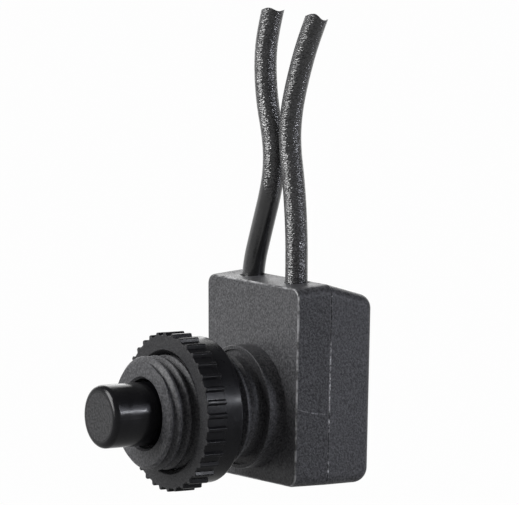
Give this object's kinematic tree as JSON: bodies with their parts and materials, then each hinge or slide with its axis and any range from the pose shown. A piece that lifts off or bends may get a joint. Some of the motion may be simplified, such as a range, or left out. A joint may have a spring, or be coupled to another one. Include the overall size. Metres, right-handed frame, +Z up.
{
  "type": "pushbutton switch",
  "caption": "Small black panel pushbutton switch: box body, threaded bushing with a ribbed ring nut, round push button and short insulated leads from the top.",
  "frame": {"origin": "on the bushing axis at the face of the collar that seats on the panel", "axes": "-Y along the bushing towards the button, +Y to the body, +Z up to the leads, +X to the right seen from the button"},
  "size_m": [0.0192, 0.0301, 0.0535],
  "materials": {
    "housing_plastic": "fine spark-eroded texture",
    "nut_plastic": "polished moulding",
    "button_plastic": "polished sides, matte end face",
    "rotor_plastic": "natural moulding",
    "spring_steel": "drawn",
    "contact_brass": "stamped strip",
    "contact_silver": "silver",
    "conductor_copper": "bare stranded copper",
    "lead_insulation": "soft vinyl insulation with a slight sheen"
  },
  "bodies": {
    "housing": {"front_housing": "housing_plastic", "rear_cover": "housing_plastic", "return_spring": "spring_steel", "pivot_pin": "spring_steel", "thrust_washer": "spring_steel", "fixed_contact_left": "contact_silver", "fixed_contact_right": "contact_silver", "terminal_left": "contact_brass", "terminal_right": "contact_brass", "conductor_left": "conductor_copper", "conductor_right": "conductor_copper", "lead_left": "lead_insulation", "lead_right": "lead_insulation"},
    "button": {"push_button": "button_plastic"},
    "rotor": {"contact_rotor": "rotor_plastic", "drive_pin": "spring_steel", "contact_plate": "contact_brass", "moving_contacts": "contact_silver", "spring_seat": "spring_steel"},
    "nut": {"mounting_nut": "nut_plastic"}
  },
  "joints": [
    {"name": "button_press", "type": "slide", "parent": "housing", "child": "button", "axis": [0, 1, 0], "range_m": [0, 0.0028], "stiffness_N_per_m": 500, "springref_m": -0.003, "deforming": ["return_spring"]},
    {"name": "rotor_index", "type": "hinge", "parent": "housing", "child": "rotor", "pos_m": [0, 0, 0], "axis": [0, 1, 0], "range_deg": [0, 45]},
    {"name": "nut_travel", "type": "slide", "parent": "housing", "child": "nut", "axis": [0, 1, 0], "range_m": [-0.003, 0.004]}
  ],
  "couplings": [
    {"joint": "rotor_index", "follows": "button_press", "rad_per_m": 280.5}
  ]
}
